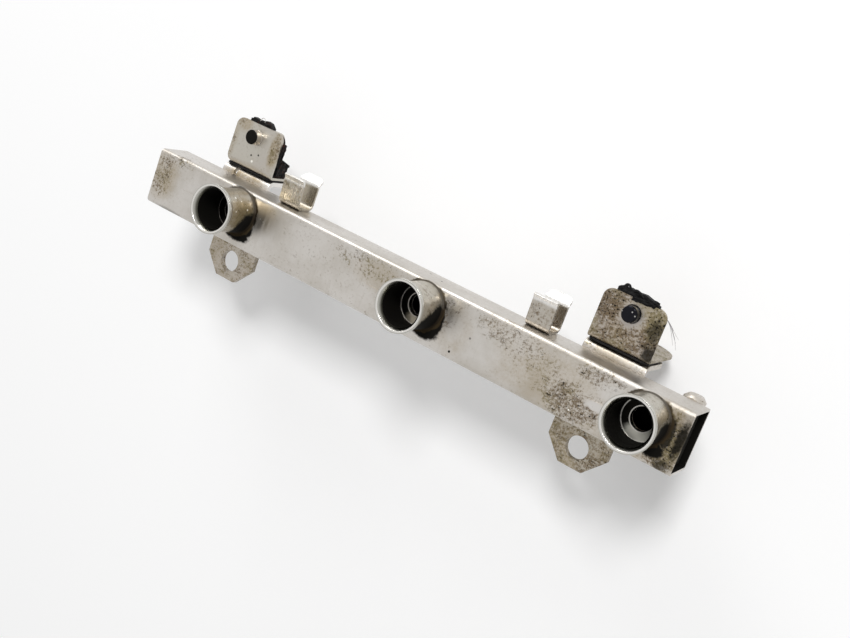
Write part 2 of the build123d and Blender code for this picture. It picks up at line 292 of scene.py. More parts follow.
# Stray flecks of dirt, in millimetres.
FLECK_SPACING = 7.0
FLECK_RADIUS = 0.38

# How much of a dirt patch is at full strength: soot has a crisp rim unless it is very ragged.
CRISP_CORE = 0.7
SOFT_CORE = 0.35
RAGGED_LIMIT = 0.5


class Dirt:
    """One patch of dirt: its kind, its middle and reach in millimetres and its strength."""

    def __init__(self, kind, centre, reach, amount=1.0, ragged=0.25):
        self.kind = kind
        self.centre = centre
        self.reach = reach
        self.amount = amount
        self.ragged = ragged


def dirt_level(tree, kind, everywhere, dirt):
    """How strongly one kind of dirt lies at each point."""
    levels = [everywhere]
    for entry in dirt:
        if entry.kind == kind:
            crisp = kind == "soot" and entry.ragged < RAGGED_LIMIT
            core = CRISP_CORE if crisp else SOFT_CORE
            spot = patch(tree, entry.centre, entry.reach, entry.ragged, core)
            levels.append(times(tree, spot, entry.amount))
    level = highest(tree, levels)
    for entry in dirt:
        if entry.kind == "wiped":
            spot = patch(tree, entry.centre, entry.reach, entry.ragged)
            kept = math_node(tree, "SUBTRACT", 1.0, times(tree, spot, entry.amount))
            level = times(tree, level, kept)
    return level


def dots(tree, spacing, radius, share):
    """Small round flecks strewn at random, in millimetres; only a share of the cells hold one."""
    cells = add_node(tree, "TexVoronoi", {"Vector": place_of(tree), "Scale": 1.0 / (MM * spacing)})
    near = band(tree, cells.outputs["Distance"], radius / spacing, 0.6 * radius / spacing)
    parts = add_node(tree, "SeparateColor", {"Color": cells.outputs["Color"]})
    chosen = math_node(tree, "LESS_THAN", parts.outputs["Red"], share)
    return times(tree, near, chosen)


def steel_finish(name, tone=STEEL, shade=STEEL_SHADE, roughness=0.30, film=0.1, specks=0.15,
                 soot=0.0, dirt=(), streaks=(900, 60, 900), fleck_share=0.25, extra=None):
    """Bare steel with brush marks, uneven tone, brown film, specks, soot, stray flecks and painted
    glints on drops; in some places the soot is also painted shade.
    """
    material, tree, shader = new_material(name)
    place = place_of(tree)
    brush = noise(tree, place_of(tree, streaks), 1.0, 3.0)
    cloud = noise(tree, place, CLOUD_SCALE, 5.0)
    blotch = noise(tree, place, BLOTCH_SCALE, 4.0)
    fine = noise(tree, place, FINE_SCALE, 5.0, 0.75)
    grit = noise(tree, place, GRIT_SCALE, 3.0, 0.6)

    base = mix_colour(tree, band(tree, cloud, 0.35, 0.7), tone, shade)
    base = mix_colour(tree, band(tree, brush, 0.5, 0.85, 0.0, 0.5), base, shade)

    film_level = dirt_level(tree, "film", film, dirt)
    mottle = band(tree, math_node(tree, "ADD", fine, cloud), 0.75, 1.15, 0.45, 1.0)
    film_mask = times(tree, film_level, mottle)
    base = mix_colour(tree, film_mask, base, BROWN_FILM)

    if any(entry.kind == "oil" for entry in dirt):
        base = mix_colour(tree, dirt_level(tree, "oil", 0.0, dirt), base, OLIVE_OIL)
    speck_level = dirt_level(tree, "specks", specks, dirt)
    clumped = math_node(tree, "ADD", times(tree, fine, 0.8), times(tree, blotch, 0.35))
    lifted = math_node(tree, "ADD", clumped, times(tree, speck_level, 0.16))
    brown_mask = times(tree, band(tree, lifted, 0.64, 0.80), band(tree, speck_level, 0.0, 0.25))
    speck_tone = mix_colour(tree, band(tree, cloud, 0.42, 0.58), BROWN_SPECK, OLIVE_OIL)
    base = mix_colour(tree, times(tree, brown_mask, 0.85), base, speck_tone)
    lifted = math_node(tree, "ADD", grit, times(tree, speck_level, 0.12))
    clumping = times(tree, math_node(tree, "SUBTRACT", blotch, 0.5), 0.3)
    lifted = math_node(tree, "ADD", lifted, clumping)
    black_mask = times(tree, band(tree, lifted, 0.69, 0.78), band(tree, speck_level, 0.1, 0.5))
    base = mix_colour(tree, black_mask, base, SOOT)

    flecks = dots(tree, FLECK_SPACING, FLECK_RADIUS, fleck_share)
    base = mix_colour(tree, flecks, base, SOOT)

    soot_mask = dirt_level(tree, "soot", soot, dirt)
    base = mix_colour(tree, soot_mask, base, SOOT)
    rough = band(tree, brush, 0.3, 0.7, roughness - 0.05, roughness + 0.07)
    rough = math_node(tree, "ADD", rough, times(tree, highest(tree, [film_mask, brown_mask]), 0.10))

    matte = highest(tree, [soot_mask, black_mask, flecks])
    # Drops are white spots: painted glints.
    drops = [entry for entry in dirt if entry.kind == "drop"]
    if drops:
        drop_glint_mask = dirt_level(tree, "drop", 0.0, drops)
        base = mix_colour(tree, drop_glint_mask, base, DROP_GLINT)
    if extra:
        base, rough, matte = extra(tree, base, rough, matte)

    plug(tree, base, shader.inputs["Base Color"])
    plug(tree, math_node(tree, "SUBTRACT", 1.0, matte), shader.inputs["Metallic"])
    rough = math_node(tree, "ADD", rough, times(tree, matte, SOOT_ROUGHNESS))
    plug(tree, rough, shader.inputs["Roughness"])
    shader.inputs["Specular IOR Level"].default_value = BARE_SPECULAR
    crust = times(tree, highest(tree, [brown_mask, black_mask]), 0.8)
    relief = math_node(tree, "ADD", brush, crust)
    bump = add_node(tree, "Bump", {"Height": relief, "Strength": 0.2, "Distance": 0.05 * MM})
    plug(tree, bump.outputs["Normal"], shader.inputs["Normal"])
    return material


def rubber_finish(name, dark=RUBBER_DARK, pale=RUBBER_PALE, rust=0.0):
    """Torn black rubber, matt and crumbly; rust is how much red-brown dust lies in it."""
    material, tree, shader = new_material(name)
    grain = noise(tree, place_of(tree), RUBBER_GRAIN_SCALE, 6.0)
    base = mix_colour(tree, grain, dark, pale)
    if rust:
        dust = noise(tree, place_of(tree), RED_DUST_SCALE, 5.0, 0.7)
        base = mix_colour(tree, band(tree, dust, 0.5, 0.62, 0.0, rust), base, RED_DUST)
    plug(tree, base, shader.inputs["Base Color"])
    shader.inputs["Roughness"].default_value = 0.55
    shader.inputs["Specular IOR Level"].default_value = 0.12
    bump = add_node(tree, "Bump", {"Height": grain, "Strength": 0.7, "Distance": 0.4 * MM})
    plug(tree, bump.outputs["Normal"], shader.inputs["Normal"])
    return material


# ---- dirt and painted shade on the tube ---------------------------------------------------------
FACE = FRONT_FACE  # short name for the list below
tube_dirt = [
    Dirt("film", (78, 20, FACE), (52, 16, 6), 0.6),
    Dirt("film", (104, 20, FACE), (20, 16, 6), 0.9),
    Dirt("film", (27, 20, FACE), (13, 12, 5), 0.55),
    Dirt("film", (-5, 25, FACE), (18, 8, 5), 0.45),
    Dirt("film", (50, 28, FACE), (20, 7, 5), 0.5),
    Dirt("film", (-108, 22, FACE), (11, 14, 6), 0.7),
    Dirt("film", (-58, 25, FACE), (9, 8, 5), 0.4),
    Dirt("specks", (74, 16.5, FACE), (17, 9, 5), 1.0),
    Dirt("specks", (82, 28, FACE), (14, 5, 5), 0.85),
    Dirt("specks", (107, 19, FACE), (10, 15, 5), 1.15),
    Dirt("specks", (-108, 22, FACE), (7, 11, 5), 0.85),
    Dirt("specks", (-101, 30, FACE), (9, 4, 5), 0.7),
    Dirt("specks", (-8, 27, FACE), (26, 6, 5), 0.55),
    Dirt("specks", (48, 27, FACE), (18, 7, 5), 0.6),
    # Black below and beside the left and middle cups' feet: oily grime and painted shade of the
    # cups.
    Dirt("soot", (-67.0, 15.2, FACE), (7.0, 2.9, 2.5), 1.0, 0.35),
    Dirt("soot", (-62.6, 18.4, FACE), (2.6, 4.0, 2.5), 1.0, 0.35),
    Dirt("soot", (18.0, 15.6, FACE), (6.5, 3.2, 2.5), 1.0, 0.35),
    Dirt("soot", (22.0, 20.0, FACE), (2.6, 6.5, 2.5), 1.0, 0.3),
    Dirt("soot", (23.6, 28.4, FACE), (3.5, 2.6, 2.0), 0.45, 0.5),
    Dirt("specks", (24.0, 25.0, FACE), (7.0, 8.0, 3.0), 0.55),
    Dirt("specks", (60.0, 24.0, FACE), (12.0, 8.0, 3.0), 0.5),
    # Black below and beside the right cup's foot: oily grime and painted shade of the cup.
    Dirt("soot", (104.2, 15.6, FACE), (4.2, 3.2, 2.5), 1.0, 0.4),
    Dirt("soot", (106.6, 22.0, FACE), (2.2, 6.0, 2.5), 0.9, 0.3),
    Dirt("soot", (110.8, 22.0, FACE), (2.6, 9.5, 3.0), 0.95, 0.7),
    Dirt("soot", (108.0, 12.5, FACE), (4.5, 2.4, 3.0), 0.7, 0.9),
    Dirt("soot", (-101.0, 10.8, 14.6), (9.0, 1.2, 2.0), 0.3, 0.5),
    Dirt("soot", (86.7, 26.8, FACE), (0.6, 0.6, 1.5), 1.0, 0.15),
    Dirt("soot", (94.0, 30.2, FACE), (0.9, 0.7, 1.5), 1.0, 0.15),
    Dirt("soot", (35.0, 20.3, FACE), (0.45, 0.45, 1.0), 1.0, 0.1),
    Dirt("soot", (29.6, 13.1, FACE), (0.5, 0.5, 1.0), 1.0, 0.1),
    Dirt("soot", (14.5, TUBE_HIGH, 8.0), (0.45, 1.0, 0.45), 1.0, 0.1),
    Dirt("soot", (8.2, TUBE_HIGH, 5.2), (0.35, 1.0, 0.35), 1.0, 0.1),
    Dirt("soot", (-72.0, 31.3, 14.4), (3.0, 0.9, 1.0), 0.8, 0.5),
    Dirt("wiped", (88.0, 25.0, FACE), (9.0, 4.5, 3.0), 0.75),
    Dirt("wiped", (82.8, 19.3, FACE + 0.3), (5.2, 2.1, 1.2), 1.0, 0.05),
    Dirt("wiped", (-86, 21, FACE), (16, 10, 3.0), 0.5),
    Dirt("wiped", (-55, 21, FACE), (7, 7, 3.0), 0.6),
    Dirt("wiped", (29, 21, FACE), (5, 7, 3.0), 0.5),
    Dirt("wiped", (40, 18, FACE), (10, 8, 3.0), 0.5),
    # Drops: painted glints.
    Dirt("drop", (-58.9, 24.1, FACE), (0.45, 0.45, 0.6), 1.0, 0.0),
    Dirt("drop", (-57.4, 23.6, FACE), (0.35, 0.35, 0.6), 1.0, 0.0),
    Dirt("drop", (75.1, 14.4, FACE), (0.4, 0.4, 0.6), 1.0, 0.0),
]


def tube_details(tree, base, rough, matte):
    """Dark rings round the cups' feet and a black inside: grime and painted shade in both."""
    across, out = (height_of(tree, axis) for axis in "YZ")
    on_face = band(tree, out, FRONT_FACE - 0.9, FRONT_FACE - 0.1)
    # A ragged dark ring round each cup's foot: grime and painted shade where the cup meets the
    # tube.
    for cup_place in CUP_ALONG.values():
        radius = radius_about(tree, cup_place, CUP_LINE)
        wander = math_node(tree, "SUBTRACT", noise(tree, place_of(tree), FOOT_RING_RIM_SCALE), 0.5)
        wander = times(tree, wander, 2.6)
        foot = ring(tree, math_node(tree, "ADD", radius, wander), CUP_FOOT_RING_RADIUS, 1.1)
        base = mix_colour(tree, times(tree, times(tree, foot, on_face), 0.9), base, GRIME_AND_SHADE)
    # The tube's inside is painted black: grime and painted shade.
    inside = 1.0
    for value, low, high in ((across, TUBE_LOW + TUBE_INSIDE, TUBE_HIGH - TUBE_INSIDE),
                             (out, TUBE_INSIDE, FRONT_FACE - TUBE_INSIDE)):
        inside = times(tree, inside, math_node(tree, "GREATER_THAN", value, low))
        inside = times(tree, inside, math_node(tree, "LESS_THAN", value, high))
    base = mix_colour(tree, inside, base, SOOT)
    return base, rough, highest(tree, [matte, inside])


# ---- dirt, painted shade and painted highlights on the cups -------------------------------------
def cup_details(along, lit_floor_tone, floor_light, ring_highlight_tone):
    """A black bore, oil and painted shade; a painted pool of light and thin painted highlight rings
    on its floor; a painted highlight on the mouth.
    """

    def details(tree, base, rough, matte):
        radius = radius_about(tree, along, CUP_LINE)
        out = height_of(tree)
        # The bore's walls, and its floor outside the lit patch, are painted black: oil and painted
        # shade.
        in_bore = math_node(tree, "LESS_THAN", radius, CUP_BORE + 0.12)
        low_bore = math_node(tree, "LESS_THAN", out, CUP_MOUTH - CUP_LEAD_IN - 0.05)
        bore = times(tree, in_bore, low_bore)
        on_floor = math_node(tree, "LESS_THAN", out, CUP_FLOOR + 0.1)
        # A painted pool of light on the bore's floor, where light falls in through the mouth.
        lit = patch(tree, floor_light[0], floor_light[1], 0.15, 0.6)
        floor = mix_colour(tree, lit, SOOT, lit_floor_tone)
        # Two thin painted highlights on the floor: at its corner fillet and at the feed hole's
        # edge.
        floor = mix_colour(tree, ring(tree, radius, CUP_BORE - 0.22, 0.22), floor, ring_highlight_tone)
        floor = mix_colour(tree, ring(tree, radius, CUP_FEED + 0.22, 0.22), floor, ring_highlight_tone)
        # The feed hole is painted black: painted shade.
        hole = math_node(tree, "LESS_THAN", radius, CUP_FEED + 0.05)
        floor = mix_colour(tree, hole, floor, SOOT)
        dark = mix_colour(tree, on_floor, SOOT, floor)
        base = mix_colour(tree, bore, base, dark)
        # A dark band at the cup's foot: grime and painted shade in the joint with the tube.
        foot = band(tree, out, FRONT_FACE + 1.1, FRONT_FACE + 0.5)
        foot = times(tree, foot, 0.85)
        base = mix_colour(tree, foot, base, CUP_FOOT_GRIME_AND_SHADE)
        # A painted highlight on the mouth and lip: brighter steel, also smoother.
        mouth = band(tree, out, CUP_MOUTH - 1.9, CUP_MOUTH - 1.1)
        mouth = times(tree, mouth, math_node(tree, "SUBTRACT", 1.0, bore))
        base = mix_colour(tree, times(tree, mouth, 0.75), base, HIGHLIGHT_STEEL)
        cone = math_node(tree, "LESS_THAN", radius, CUP_BORE + CUP_LEAD_IN_WIDTH - 0.08)
        past_bore = math_node(tree, "GREATER_THAN", out, CUP_MOUTH - CUP_LEAD_IN - 0.05)
        cone = times(tree, cone, past_bore)
        oil_edge = band(tree, radius, CUP_BORE + 0.2, CUP_BORE + 0.9)
        cone_tone = mix_colour(tree, oil_edge, OILY_STEEL, GREY_STEEL)
        base = mix_colour(tree, cone, base, cone_tone)
        rim = times(tree, band(tree, radius, CUP_LIP_RADIUS - 0.5, CUP_LIP_RADIUS - 0.25), mouth)
        base = mix_colour(tree, times(tree, rim, 0.85), base, GREY_STEEL)
        rough = math_node(tree, "SUBTRACT", rough, times(tree, mouth, 0.10))
        wall = times(tree, bore, math_node(tree, "SUBTRACT", 1.0, on_floor))
        return base, rough, highest(tree, [matte, wall, foot])

    return details


def cup_finish(side, dirt, lit_floor_tone, floor_light, ring_highlight_tone, film):
    details = cup_details(CUP_ALONG[side], lit_floor_tone, floor_light, ring_highlight_tone)
    return steel_finish(side + " cup steel", CUP_STEEL, GREY_STEEL, 0.27, film, 0.25, 0.0, dirt,
                        streaks=(60, 60, 900), fleck_share=0.3, extra=details)


left_cup_dirt = [
    Dirt("film", (-63, 24, 22), (8, 12, 10), 1.0),
    Dirt("oil", (-62, 22, 20), (7, 9, 9), 0.8, 0.3),
    # Black on the cup's lower side: oily grime and painted shade.
    Dirt("soot", (-66.0, 15.5, 16.8), (9.5, 6.5, 5.5), 1.0, 0.35),
    Dirt("soot", (-63.0, 18.2, 17.2), (6.0, 8.5, 6.8), 1.0, 0.35),
    Dirt("soot", (-62.5, 19.0, 16.5), (3.0, 6.0, 2.8), 1.0, 0.3),
    Dirt("specks", (-63, 24, 22), (6, 12, 9), 0.5),
    # Drops: painted glints.
    Dirt("drop", (-64.8, 29.4, 24.8), (0.5, 0.5, 0.5), 1.0, 0.0),
    Dirt("drop", (-63.9, 28.5, 22.2), (0.3, 0.3, 0.3), 1.0, 0.0),
    Dirt("drop", (-62.0, 25.2, 25.8), (0.42, 0.42, 0.42), 1.0, 0.0),
    Dirt("drop", (-62.3, 26.0, 19.5), (0.5, 0.5, 0.5), 1.0, 0.0),
]
middle_cup_dirt = [
    Dirt("film", (22, 22, 20), (7, 9, 9), 0.9),
    Dirt("oil", (21, 19, 20), (8, 8, 9), 0.6, 0.3),
    # Black on the cup's lower side: oily grime and painted shade.
    Dirt("soot", (20.5, 17.8, 18.5), (8.5, 9.0, 11.0), 1.0, 0.3),
    Dirt("soot", (22.3, 20.0, 17.5), (3.6, 8.0, 5.5), 1.0, 0.4),
    Dirt("specks", (20, 24, 22), (8, 9, 9), 0.3),
]
right_cup_dirt = [
    Dirt("film", (105, 23, 21), (8, 10, 9), 0.6),
    Dirt("oil", (106, 19, 20), (5, 9, 9), 0.6, 0.3),
    # Black on the cup's lower side: oily grime and painted shade.
    Dirt("soot", (104.4, 17.4, 18.0), (6.5, 8.0, 10.0), 1.0, 0.35),
    Dirt("soot", (106.2, 20.0, 16.5), (2.6, 7.5, 3.0), 0.95, 0.4),
    Dirt("soot", (106.4, 21.2, 19.0), (3.6, 6.0, 8.0), 1.0, 0.3),
    Dirt("specks", (104, 24, 22), (6, 9, 9), 0.5),
]

# ---- dirt on plates, brackets, ears and clips; painted highlights on clips and left bracket ----
left_plate_dirt = [
    Dirt("specks", (-92.0, 51.5, 0), (4.0, 4.0, 3), 0.6),
    Dirt("specks", (-73.5, 45.5, 0), (3.2, 9.0, 3), 0.9),
    Dirt("specks", (-93.5, 41.0, 0), (2.0, 8.0, 3), 0.6),
    Dirt("film", (-73.5, 45.5, 0), (4.0, 10.0, 3), 0.9),
    Dirt("film", (-90.5, 51.0, 0), (6.0, 5.0, 3), 0.8),
    Dirt("film", (-93.5, 44.0, 0), (3.0, 12.0, 3), 0.6),
    Dirt("film", (-83.0, 36.0, 0), (14.0, 2.2, 3), 0.5),
    Dirt("soot", (-83.2, 40.6, 0), (0.45, 0.45, 1.0), 0.9, 0.0),
    Dirt("soot", (-80.0, 41.7, 0), (0.45, 0.45, 1.0), 0.9, 0.0),
    # Drop: a painted glint.
    Dirt("drop", (-82.1, 38.6, 0), (0.7, 0.7, 1.0), 1.0, 0.0),
]
right_plate_dirt = [
    Dirt("film", (77, 45, 0), (16, 13, 3), 0.95),
    Dirt("specks", (70, 48, 0), (10, 10, 3), 1.25),
    Dirt("specks", (76, 38, 0), (14, 7, 3), 1.1),
    Dirt("specks", (86, 45, 0), (8, 13, 3), 1.35),
    Dirt("soot", (87.5, 38.0, 0), (4.5, 4.5, 3), 0.9, 0.7),
    Dirt("soot", (86.5, 45.5, 0), (4.0, 5.0, 3), 0.7, 0.8),
    Dirt("wiped", (77.8, 46.8, 0), (6.3, 6.0, 2), 0.72, 0.15),
]
left_bracket_dirt = [
    Dirt("film", (-82, 32, 0), (15, 2.8, 8), 1.0),
]
right_bracket_dirt = [
    Dirt("film", (77, 33, 0), (14, 6, 8), 0.6),
    Dirt("specks", (70, 33.5, 0), (6, 4, 6), 0.6),
]

# Darker along the ear's top next to the tube, with specks lower down.
left_ear_darkening = [
    Dirt("specks", (-77.5, 8.5, -2), (9, 3.5, 4), 1.1),
    Dirt("soot", (-75.0, 8.0, -2), (3.0, 1.6, 4), 0.8, 0.8),
    Dirt("specks", (-72.0, 1.0, -2), (3.0, 7.0, 4), 0.9),
]


def clip_top_highlight(tree, base, rough, matte):
    """A painted highlight over the clip's lip and tongue."""
    painted_highlight = band(tree, height_of(tree, "Y"), TUBE_HIGH + 8.4, TUBE_HIGH + 9.6)
    base = mix_colour(tree, times(tree, painted_highlight, 0.85), base, HIGHLIGHT_STEEL)
    return base, rough, matte


def pale_flecks(tree, base, rough, matte):
    """Small light flecks on the black stud."""
    flecks = dots(tree, 1.2, 0.30, 0.45)
    base = mix_colour(tree, flecks, base, PALE_FLECK)
    return base, rough, matte


BLACK_RUBBER = rubber_finish("black rubber")
TORN_RUBBER = rubber_finish("torn rubber", rust=0.4)
finishes = {
    "rail_tube": steel_finish("tube steel", roughness=0.32, film=0.16, specks=0.14, dirt=tube_dirt,
                              extra=tube_details),
    "inlet_pipe": steel_finish("inlet steel", roughness=0.32, film=0.35, specks=0.3),
    # Each cup: its dirt, the tone and patch of the painted pool of light on its bore floor, the
    # tone of its painted highlight rings, and its film.
    "injector_cup_left": cup_finish(
        "left", left_cup_dirt, SOOT, ((-64.0, 20.0, 17.3), (3, 3, 2)),
        colour(0.12, 0.11, 0.10), 0.55),
    "injector_cup_middle": cup_finish(
        "middle", middle_cup_dirt, colour(0.35, 0.31, 0.24), ((16.5, 17.5, 17.3), (6.5, 4.0, 2)),
        colour(0.45, 0.42, 0.38), 0.4),
    "injector_cup_right": cup_finish(
        "right", right_cup_dirt, colour(0.42, 0.41, 0.36), ((100.0, 17.5, 17.3), (7.5, 5.0, 2)),
        colour(0.5, 0.48, 0.44), 0.3),
    "end_cap_left": steel_finish("left end steel", film=0.4, specks=0.4),
    # The right end cap is almost all black: grime and painted shade in the tube's recessed end.
    "end_cap_right": steel_finish("right end steel", film=0.5, specks=0.6, soot=0.97),
    "mounting_ear_left": steel_finish("left ear steel", STEEL_SHADE, PLATE_GREY, 0.36, 0.55, 0.6,
                                      dirt=left_ear_darkening),
    "mounting_ear_right": steel_finish("right ear steel", GREY_STEEL, PLATE_GREY, 0.40, 0.7, 0.85),
    # The left bracket's pale tone is a painted highlight of the bright band on its shelf's bend.
    "bracket_left": steel_finish("left bracket steel", HIGHLIGHT_STEEL, STEEL, 0.34, 0.1, 0.0,
                                 dirt=left_bracket_dirt, fleck_share=0.0),
    "bracket_right": steel_finish("right bracket steel", roughness=0.28, film=0.3, specks=0.3,
                                  dirt=right_bracket_dirt),
    "isolator_plate_left": steel_finish(
        "left plate steel", CUP_STEEL, STEEL_SHADE, 0.36, 0.16, 0.15, dirt=left_plate_dirt,
        streaks=(60, 900, 60)),
    "isolator_plate_right": steel_finish(
        "right plate steel", PLATE_GREY, GREY_STEEL, 0.38, 0.6, 0.95, dirt=right_plate_dirt,
        streaks=(60, 900, 60)),
    "isolator_back_plate_left": steel_finish("left back plate steel", film=0.4, specks=0.5),
    "isolator_back_plate_right": steel_finish("right back plate steel", film=0.5, specks=0.6),
    "isolator_stud_left": steel_finish(
        "left stud steel", roughness=0.20, film=0.3, specks=0.1, streaks=(60, 60, 60),
        dirt=[Dirt("soot", (STUD_ALONG["left"], STUD_LINE, 3.4), (4.5, 4.5, 0.7), 1.0, 0.2)]),
    "isolator_stud_right": steel_finish(
        "right stud steel", colour(0.016, 0.016, 0.02), colour(0.008, 0.008, 0.01), 0.14, 0.0, 0.0,
        extra=pale_flecks),
    "hose_clip_left": steel_finish("left clip steel", STEEL_SHADE, GREY_STEEL, 0.24, 0.45, 0.4,
                                   extra=clip_top_highlight),
    "hose_clip_right": steel_finish("right clip steel", STEEL_SHADE, GREY_STEEL, 0.24, 0.5, 0.55,
                                    extra=clip_top_highlight),
    "isolator_base_pad_left": BLACK_RUBBER,
    "isolator_base_pad_right": BLACK_RUBBER,
    "isolator_block_left": TORN_RUBBER,
    "isolator_block_right": BLACK_RUBBER,
}


# ---- pieces -------------------------------------------------------------------------------------
def break_edges(piece, width, segments, sharper_than):
    """Rounds the piece's sharp edges a little."""
    bevel = piece.modifiers.new("edge break", "BEVEL")
    bevel.width = width
    bevel.segments = segments
    bevel.limit_method = "ANGLE"
    bevel.angle_limit = sharper_than
    bpy.ops.object.modifier_apply(modifier=bevel.name)


def dressed_copy(node, edge_round):
    """The node's own form: triangles merged, edges broken, curves smooth and flat faces flat."""
    source = frame["nodes"][node]
    piece = source.copy()
    piece.data = source.data.copy()
    piece.name = node + "_dressed"
    piece.parent = None
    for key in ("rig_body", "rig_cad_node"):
        if key in piece:
            del piece[key]
    bpy.context.scene.collection.objects.link(piece)
    make_active(piece)
    bpy.ops.object.mode_set(mode="EDIT")
    bpy.ops.mesh.select_all(action="SELECT")
    bpy.ops.mesh.remove_doubles(threshold=MERGE_REACH * MM)
    bpy.ops.mesh.dissolve_limited(angle_limit=FLAT_ANGLE)
    bpy.ops.object.mode_set(mode="OBJECT")
    break_edges(piece, edge_round, 2, EDGE_ANGLE)
    bpy.ops.object.shade_smooth_by_angle(angle=SMOOTH_ANGLE)
    flatten = piece.modifiers.new("flat faces", "WEIGHTED_NORMAL")
    flatten.mode = "FACE_AREA"
    flatten.weight = 100
    flatten.keep_sharp = True
    bpy.ops.object.modifier_apply(modifier=flatten.name)
    piece.data.materials.clear()
    piece.data.materials.append(finishes[node])
    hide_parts(node)
    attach(piece, "root")


EDGE_ROUND = {"tube_steel": 0.12, "cup_steel": 0.1, "sheet_steel": 0.18, "plate_steel": 0.15,
              "spring_steel": 0.12, "stud_steel": 0.08, "black_rubber": 0.25}
TURNED = ("cup_steel", "stud_steel")
for node in sorted(frame["nodes"]):
    if SLOT_OF[node] not in TURNED:
        dressed_copy(node, EDGE_ROUND[SLOT_OF[node]] * MM)


# ---- turned pieces ------------------------------------------------------------------------------
def finish_piece(piece, finish):
    """Leaves the piece at the origin with its place in its mesh, dressed and riding on the rail."""
    make_active(piece)
    bpy.ops.object.transform_apply(location=True, rotation=True, scale=True)
    piece.data.materials.clear()
    piece.data.materials.append(finish)
    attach(piece, "root")


def turned_piece(node, along, across, section, hollow):
    """Turned on its axis: a circle is drawn along the section ring by ring, then closed."""
    radius, height = section[0]
    deselect_all()
    bpy.ops.mesh.primitive_circle_add(vertices=TURNED_SIDES, radius=radius * MM,
                                      location=(along * MM, across * MM, height * MM))
    piece = bpy.context.object
    piece.name = node + "_dressed"
    bpy.ops.object.transform_apply(location=True, rotation=True, scale=True)
    bpy.ops.object.mode_set(mode="EDIT")
    bpy.ops.mesh.select_all(action="SELECT")
    for next_radius, next_height in section[1:] + (section[:1] if hollow else ()):
        rise = (0, 0, (next_height - height) * MM)
        bpy.ops.mesh.extrude_region_move(TRANSFORM_OT_translate={"value": rise})
        widen = next_radius / radius
        bpy.ops.transform.resize(value=(widen, widen, 1),
                                 center_override=(along * MM, across * MM, next_height * MM))
        radius, height = next_radius, next_height
    bpy.ops.mesh.select_all(action="SELECT")
    if hollow:
        bpy.ops.mesh.remove_doubles(threshold=MERGE_REACH * MM)
    else:
        bpy.ops.mesh.fill_holes(sides=0)
    bpy.ops.mesh.normals_make_consistent(inside=False)
    bpy.ops.object.mode_set(mode="OBJECT")
    break_edges(piece, EDGE_ROUND[SLOT_OF[node]] * MM, 3, TURNED_EDGE_ANGLE)
    bpy.ops.object.shade_smooth_by_angle(angle=TURNED_SMOOTH_ANGLE)
    finish_piece(piece, finishes[node])
    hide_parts(node)


CUP_SECTION = ((CUP_FEED, 0.0), (CUP_COLLAR_RADIUS, 0.0), (CUP_BODY_RADIUS, CUP_COLLAR_TOP),
               (CUP_BODY_RADIUS, CUP_FLARE_START), (CUP_LIP_RADIUS, CUP_LIP_START),
               (CUP_LIP_RADIUS, CUP_HEIGHT), (CUP_BORE + CUP_LEAD_IN_WIDTH, CUP_HEIGHT),
               (CUP_BORE, CUP_HEIGHT - CUP_LEAD_IN), (CUP_BORE, CUP_FLOOR_SHEET),
               (CUP_FEED, CUP_FLOOR_SHEET))
for side, along in CUP_ALONG.items():
    section = tuple((radius, FRONT_FACE + height) for radius, height in CUP_SECTION)
    turned_piece("injector_cup_" + side, along, CUP_LINE, section, True)
for side, along in STUD_ALONG.items():
    reach = STUD_REACH[side]
    section = ((STUD_HEAD["radius"], STUD_HEAD["foot"]), (STUD_HEAD["radius"], STUD_HEAD["top"]),
               (STUD_SHANK_RADIUS, STUD_HEAD["top"]), (STUD_SHANK_RADIUS, STUD_PLATE_FACE),
               (STUD_RADIUS, STUD_PLATE_FACE), (STUD_RADIUS, reach - STUD_END_CHAMFER),
               (STUD_RADIUS - STUD_END_CHAMFER, reach))
    turned_piece("isolator_stud_" + side, along, STUD_LINE, section, False)


# ---- torn rubber and fibres ---------------------------------------------------------------------
def crumpled_ridge(name, centre, size, finish, seed, crumple=0.5, turn=0.0):
    """A bar of rubber that has torn off unevenly: cut fine, pulled about and roughened."""
    middle = Vector(centre) * MM
    deselect_all()
    bpy.ops.mesh.primitive_cube_add(size=1.0, location=middle)
    piece = bpy.context.object
    piece.name = name
    bpy.ops.object.transform_apply(location=True, rotation=True, scale=True)
    bpy.ops.object.mode_set(mode="EDIT")
    bpy.ops.mesh.select_all(action="SELECT")
    bpy.ops.transform.resize(value=[side * MM for side in size], center_override=middle)
    bpy.ops.transform.rotate(value=turn, orient_axis="Z", center_override=middle)
    bpy.ops.mesh.subdivide(number_cuts=RIDGE_CUTS)
    bpy.ops.transform.vertex_random(offset=crumple * MM, seed=seed)
    bpy.ops.mesh.vertices_smooth(factor=0.4)
    bpy.ops.object.mode_set(mode="OBJECT")
    lumps = bpy.data.textures.new(name + " lumps", "CLOUDS")
    lumps.noise_scale = 0.9 * MM
    lumps.noise_depth = 2
    displace = piece.modifiers.new("torn lumps", "DISPLACE")
    displace.texture = lumps
    displace.texture_coords = "LOCAL"
    displace.strength = 2.2 * crumple * MM
    displace.mid_level = 0.55
    bpy.ops.object.modifier_apply(modifier=displace.name)
    bpy.ops.object.shade_smooth_by_angle(angle=RIDGE_SMOOTH_ANGLE)
    finish_piece(piece, finish)


